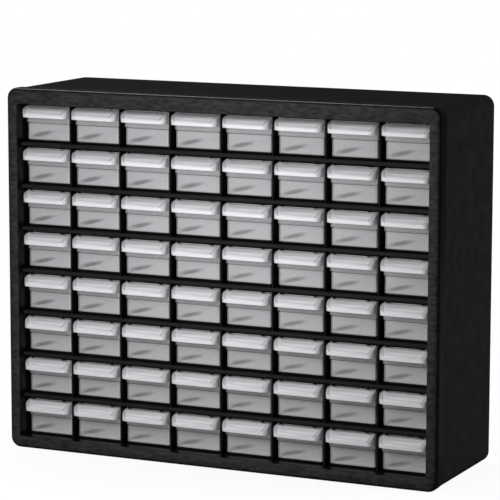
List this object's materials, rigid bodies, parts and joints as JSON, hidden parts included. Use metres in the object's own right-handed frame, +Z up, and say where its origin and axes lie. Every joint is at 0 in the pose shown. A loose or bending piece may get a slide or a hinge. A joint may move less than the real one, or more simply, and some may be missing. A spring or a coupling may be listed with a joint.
{
  "type": "parts bin cabinet",
  "caption": "Moulded black plastic cabinet with a grid of small clear drawers that slide out to a stop; stands on a bench or hangs on two screws.",
  "frame": {"origin": "middle of the base on the surface that the cabinet stands on", "axes": "+X to the right and +Y to the back as seen from the front, +Z up; the drawers slide out along -Y"},
  "size_m": [0.508, 0.162, 0.4012],
  "materials": {
    "case_black": "satin black moulded plastic, finely grained",
    "bezel_black": "satin black moulded plastic, finely grained",
    "rack_black": "satin black moulded plastic",
    "drawer_clear": "milky clear moulded plastic, slightly frosted"
  },
  "bodies": {
    "cabinet": {"case_shell": "case_black", "front_bezel": "bezel_black", "front_rails": "rack_black", "shelves": "rack_black", "dividers": "rack_black"},
    "drawer_r1c1_body": {"drawer_r1c1": "drawer_clear"},
    "drawer_r1c2_body": {"drawer_r1c2": "drawer_clear"},
    "drawer_r1c3_body": {"drawer_r1c3": "drawer_clear"},
    "drawer_r1c4_body": {"drawer_r1c4": "drawer_clear"},
    "drawer_r1c5_body": {"drawer_r1c5": "drawer_clear"},
    "drawer_r1c6_body": {"drawer_r1c6": "drawer_clear"},
    "drawer_r1c7_body": {"drawer_r1c7": "drawer_clear"},
    "drawer_r1c8_body": {"drawer_r1c8": "drawer_clear"},
    "drawer_r2c1_body": {"drawer_r2c1": "drawer_clear"},
    "drawer_r2c2_body": {"drawer_r2c2": "drawer_clear"},
    "drawer_r2c3_body": {"drawer_r2c3": "drawer_clear"},
    "drawer_r2c4_body": {"drawer_r2c4": "drawer_clear"},
    "drawer_r2c5_body": {"drawer_r2c5": "drawer_clear"},
    "drawer_r2c6_body": {"drawer_r2c6": "drawer_clear"},
    "drawer_r2c7_body": {"drawer_r2c7": "drawer_clear"},
    "drawer_r2c8_body": {"drawer_r2c8": "drawer_clear"},
    "drawer_r3c1_body": {"drawer_r3c1": "drawer_clear"},
    "drawer_r3c2_body": {"drawer_r3c2": "drawer_clear"},
    "drawer_r3c3_body": {"drawer_r3c3": "drawer_clear"},
    "drawer_r3c4_body": {"drawer_r3c4": "drawer_clear"},
    "drawer_r3c5_body": {"drawer_r3c5": "drawer_clear"},
    "drawer_r3c6_body": {"drawer_r3c6": "drawer_clear"},
    "drawer_r3c7_body": {"drawer_r3c7": "drawer_clear"},
    "drawer_r3c8_body": {"drawer_r3c8": "drawer_clear"},
    "drawer_r4c1_body": {"drawer_r4c1": "drawer_clear"},
    "drawer_r4c2_body": {"drawer_r4c2": "drawer_clear"},
    "drawer_r4c3_body": {"drawer_r4c3": "drawer_clear"},
    "drawer_r4c4_body": {"drawer_r4c4": "drawer_clear"},
    "drawer_r4c5_body": {"drawer_r4c5": "drawer_clear"},
    "drawer_r4c6_body": {"drawer_r4c6": "drawer_clear"},
    "drawer_r4c7_body": {"drawer_r4c7": "drawer_clear"},
    "drawer_r4c8_body": {"drawer_r4c8": "drawer_clear"},
    "drawer_r5c1_body": {"drawer_r5c1": "drawer_clear"},
    "drawer_r5c2_body": {"drawer_r5c2": "drawer_clear"},
    "drawer_r5c3_body": {"drawer_r5c3": "drawer_clear"},
    "drawer_r5c4_body": {"drawer_r5c4": "drawer_clear"},
    "drawer_r5c5_body": {"drawer_r5c5": "drawer_clear"},
    "drawer_r5c6_body": {"drawer_r5c6": "drawer_clear"},
    "drawer_r5c7_body": {"drawer_r5c7": "drawer_clear"},
    "drawer_r5c8_body": {"drawer_r5c8": "drawer_clear"},
    "drawer_r6c1_body": {"drawer_r6c1": "drawer_clear"},
    "drawer_r6c2_body": {"drawer_r6c2": "drawer_clear"},
    "drawer_r6c3_body": {"drawer_r6c3": "drawer_clear"},
    "drawer_r6c4_body": {"drawer_r6c4": "drawer_clear"},
    "drawer_r6c5_body": {"drawer_r6c5": "drawer_clear"},
    "drawer_r6c6_body": {"drawer_r6c6": "drawer_clear"},
    "drawers_r6c7_r6c8_body": {"drawers_r6c7_r6c8": "drawer_clear"},
    "drawers_r7c1_r7c2_body": {"drawers_r7c1_r7c2": "drawer_clear"},
    "drawers_r7c3_r7c4_body": {"drawers_r7c3_r7c4": "drawer_clear"},
    "drawers_r7c5_r7c6_body": {"drawers_r7c5_r7c6": "drawer_clear"},
    "drawers_r7c7_r7c8_body": {"drawers_r7c7_r7c8": "drawer_clear"},
    "drawers_r8c1_r8c2_body": {"drawers_r8c1_r8c2": "drawer_clear"},
    "drawers_r8c3_r8c4_body": {"drawers_r8c3_r8c4": "drawer_clear"},
    "drawers_r8c5_r8c6_body": {"drawers_r8c5_r8c6": "drawer_clear"},
    "drawers_r8c7_r8c8_body": {"drawers_r8c7_r8c8": "drawer_clear"}
  },
  "joints": [
    {"name": "drawer_r1c1_slide", "type": "slide", "parent": "cabinet", "child": "drawer_r1c1_body", "axis": [0, -1, 0], "range_m": [0, 0.1252]},
    {"name": "drawer_r1c2_slide", "type": "slide", "parent": "cabinet", "child": "drawer_r1c2_body", "axis": [0, -1, 0], "range_m": [0, 0.1252]},
    {"name": "drawer_r1c3_slide", "type": "slide", "parent": "cabinet", "child": "drawer_r1c3_body", "axis": [0, -1, 0], "range_m": [0, 0.1252]},
    {"name": "drawer_r1c4_slide", "type": "slide", "parent": "cabinet", "child": "drawer_r1c4_body", "axis": [0, -1, 0], "range_m": [0, 0.1252]},
    {"name": "drawer_r1c5_slide", "type": "slide", "parent": "cabinet", "child": "drawer_r1c5_body", "axis": [0, -1, 0], "range_m": [0, 0.1252]},
    {"name": "drawer_r1c6_slide", "type": "slide", "parent": "cabinet", "child": "drawer_r1c6_body", "axis": [0, -1, 0], "range_m": [0, 0.1252]},
    {"name": "drawer_r1c7_slide", "type": "slide", "parent": "cabinet", "child": "drawer_r1c7_body", "axis": [0, -1, 0], "range_m": [0, 0.1252]},
    {"name": "drawer_r1c8_slide", "type": "slide", "parent": "cabinet", "child": "drawer_r1c8_body", "axis": [0, -1, 0], "range_m": [0, 0.1252]},
    {"name": "drawer_r2c1_slide", "type": "slide", "parent": "cabinet", "child": "drawer_r2c1_body", "axis": [0, -1, 0], "range_m": [0, 0.1252]},
    {"name": "drawer_r2c2_slide", "type": "slide", "parent": "cabinet", "child": "drawer_r2c2_body", "axis": [0, -1, 0], "range_m": [0, 0.1252]},
    {"name": "drawer_r2c3_slide", "type": "slide", "parent": "cabinet", "child": "drawer_r2c3_body", "axis": [0, -1, 0], "range_m": [0, 0.1252]},
    {"name": "drawer_r2c4_slide", "type": "slide", "parent": "cabinet", "child": "drawer_r2c4_body", "axis": [0, -1, 0], "range_m": [0, 0.1252]},
    {"name": "drawer_r2c5_slide", "type": "slide", "parent": "cabinet", "child": "drawer_r2c5_body", "axis": [0, -1, 0], "range_m": [0, 0.1252]},
    {"name": "drawer_r2c6_slide", "type": "slide", "parent": "cabinet", "child": "drawer_r2c6_body", "axis": [0, -1, 0], "range_m": [0, 0.1252]},
    {"name": "drawer_r2c7_slide", "type": "slide", "parent": "cabinet", "child": "drawer_r2c7_body", "axis": [0, -1, 0], "range_m": [0, 0.1252]},
    {"name": "drawer_r2c8_slide", "type": "slide", "parent": "cabinet", "child": "drawer_r2c8_body", "axis": [0, -1, 0], "range_m": [0, 0.1252]},
    {"name": "drawer_r3c1_slide", "type": "slide", "parent": "cabinet", "child": "drawer_r3c1_body", "axis": [0, -1, 0], "range_m": [0, 0.1252]},
    {"name": "drawer_r3c2_slide", "type": "slide", "parent": "cabinet", "child": "drawer_r3c2_body", "axis": [0, -1, 0], "range_m": [0, 0.1252]},
    {"name": "drawer_r3c3_slide", "type": "slide", "parent": "cabinet", "child": "drawer_r3c3_body", "axis": [0, -1, 0], "range_m": [0, 0.1252]},
    {"name": "drawer_r3c4_slide", "type": "slide", "parent": "cabinet", "child": "drawer_r3c4_body", "axis": [0, -1, 0], "range_m": [0, 0.1252]},
    {"name": "drawer_r3c5_slide", "type": "slide", "parent": "cabinet", "child": "drawer_r3c5_body", "axis": [0, -1, 0], "range_m": [0, 0.1252]},
    {"name": "drawer_r3c6_slide", "type": "slide", "parent": "cabinet", "child": "drawer_r3c6_body", "axis": [0, -1, 0], "range_m": [0, 0.1252]},
    {"name": "drawer_r3c7_slide", "type": "slide", "parent": "cabinet", "child": "drawer_r3c7_body", "axis": [0, -1, 0], "range_m": [0, 0.1252]},
    {"name": "drawer_r3c8_slide", "type": "slide", "parent": "cabinet", "child": "drawer_r3c8_body", "axis": [0, -1, 0], "range_m": [0, 0.1252]},
    {"name": "drawer_r4c1_slide", "type": "slide", "parent": "cabinet", "child": "drawer_r4c1_body", "axis": [0, -1, 0], "range_m": [0, 0.1252]},
    {"name": "drawer_r4c2_slide", "type": "slide", "parent": "cabinet", "child": "drawer_r4c2_body", "axis": [0, -1, 0], "range_m": [0, 0.1252]},
    {"name": "drawer_r4c3_slide", "type": "slide", "parent": "cabinet", "child": "drawer_r4c3_body", "axis": [0, -1, 0], "range_m": [0, 0.1252]},
    {"name": "drawer_r4c4_slide", "type": "slide", "parent": "cabinet", "child": "drawer_r4c4_body", "axis": [0, -1, 0], "range_m": [0, 0.1252]},
    {"name": "drawer_r4c5_slide", "type": "slide", "parent": "cabinet", "child": "drawer_r4c5_body", "axis": [0, -1, 0], "range_m": [0, 0.1252]},
    {"name": "drawer_r4c6_slide", "type": "slide", "parent": "cabinet", "child": "drawer_r4c6_body", "axis": [0, -1, 0], "range_m": [0, 0.1252]},
    {"name": "drawer_r4c7_slide", "type": "slide", "parent": "cabinet", "child": "drawer_r4c7_body", "axis": [0, -1, 0], "range_m": [0, 0.1252]},
    {"name": "drawer_r4c8_slide", "type": "slide", "parent": "cabinet", "child": "drawer_r4c8_body", "axis": [0, -1, 0], "range_m": [0, 0.1252]},
    {"name": "drawer_r5c1_slide", "type": "slide", "parent": "cabinet", "child": "drawer_r5c1_body", "axis": [0, -1, 0], "range_m": [0, 0.1252]},
    {"name": "drawer_r5c2_slide", "type": "slide", "parent": "cabinet", "child": "drawer_r5c2_body", "axis": [0, -1, 0], "range_m": [0, 0.1252]},
    {"name": "drawer_r5c3_slide", "type": "slide", "parent": "cabinet", "child": "drawer_r5c3_body", "axis": [0, -1, 0], "range_m": [0, 0.1252]},
    {"name": "drawer_r5c4_slide", "type": "slide", "parent": "cabinet", "child": "drawer_r5c4_body", "axis": [0, -1, 0], "range_m": [0, 0.1252]},
    {"name": "drawer_r5c5_slide", "type": "slide", "parent": "cabinet", "child": "drawer_r5c5_body", "axis": [0, -1, 0], "range_m": [0, 0.1252]},
    {"name": "drawer_r5c6_slide", "type": "slide", "parent": "cabinet", "child": "drawer_r5c6_body", "axis": [0, -1, 0], "range_m": [0, 0.1252]},
    {"name": "drawer_r5c7_slide", "type": "slide", "parent": "cabinet", "child": "drawer_r5c7_body", "axis": [0, -1, 0], "range_m": [0, 0.1252]},
    {"name": "drawer_r5c8_slide", "type": "slide", "parent": "cabinet", "child": "drawer_r5c8_body", "axis": [0, -1, 0], "range_m": [0, 0.1252]},
    {"name": "drawer_r6c1_slide", "type": "slide", "parent": "cabinet", "child": "drawer_r6c1_body", "axis": [0, -1, 0], "range_m": [0, 0.1252]},
    {"name": "drawer_r6c2_slide", "type": "slide", "parent": "cabinet", "child": "drawer_r6c2_body", "axis": [0, -1, 0], "range_m": [0, 0.1252]},
    {"name": "drawer_r6c3_slide", "type": "slide", "parent": "cabinet", "child": "drawer_r6c3_body", "axis": [0, -1, 0], "range_m": [0, 0.1252]},
    {"name": "drawer_r6c4_slide", "type": "slide", "parent": "cabinet", "child": "drawer_r6c4_body", "axis": [0, -1, 0], "range_m": [0, 0.1252]},
    {"name": "drawer_r6c5_slide", "type": "slide", "parent": "cabinet", "child": "drawer_r6c5_body", "axis": [0, -1, 0], "range_m": [0, 0.1252]},
    {"name": "drawer_r6c6_slide", "type": "slide", "parent": "cabinet", "child": "drawer_r6c6_body", "axis": [0, -1, 0], "range_m": [0, 0.1252]},
    {"name": "drawers_r6c7_r6c8_slide", "type": "slide", "parent": "cabinet", "child": "drawers_r6c7_r6c8_body", "axis": [0, -1, 0], "range_m": [0, 0.1252]},
    {"name": "drawers_r7c1_r7c2_slide", "type": "slide", "parent": "cabinet", "child": "drawers_r7c1_r7c2_body", "axis": [0, -1, 0], "range_m": [0, 0.1252]},
    {"name": "drawers_r7c3_r7c4_slide", "type": "slide", "parent": "cabinet", "child": "drawers_r7c3_r7c4_body", "axis": [0, -1, 0], "range_m": [0, 0.1252]},
    {"name": "drawers_r7c5_r7c6_slide", "type": "slide", "parent": "cabinet", "child": "drawers_r7c5_r7c6_body", "axis": [0, -1, 0], "range_m": [0, 0.1252]},
    {"name": "drawers_r7c7_r7c8_slide", "type": "slide", "parent": "cabinet", "child": "drawers_r7c7_r7c8_body", "axis": [0, -1, 0], "range_m": [0, 0.1252]},
    {"name": "drawers_r8c1_r8c2_slide", "type": "slide", "parent": "cabinet", "child": "drawers_r8c1_r8c2_body", "axis": [0, -1, 0], "range_m": [0, 0.1252]},
    {"name": "drawers_r8c3_r8c4_slide", "type": "slide", "parent": "cabinet", "child": "drawers_r8c3_r8c4_body", "axis": [0, -1, 0], "range_m": [0, 0.1252]},
    {"name": "drawers_r8c5_r8c6_slide", "type": "slide", "parent": "cabinet", "child": "drawers_r8c5_r8c6_body", "axis": [0, -1, 0], "range_m": [0, 0.1252]},
    {"name": "drawers_r8c7_r8c8_slide", "type": "slide", "parent": "cabinet", "child": "drawers_r8c7_r8c8_body", "axis": [0, -1, 0], "range_m": [0, 0.1252]}
  ]
}
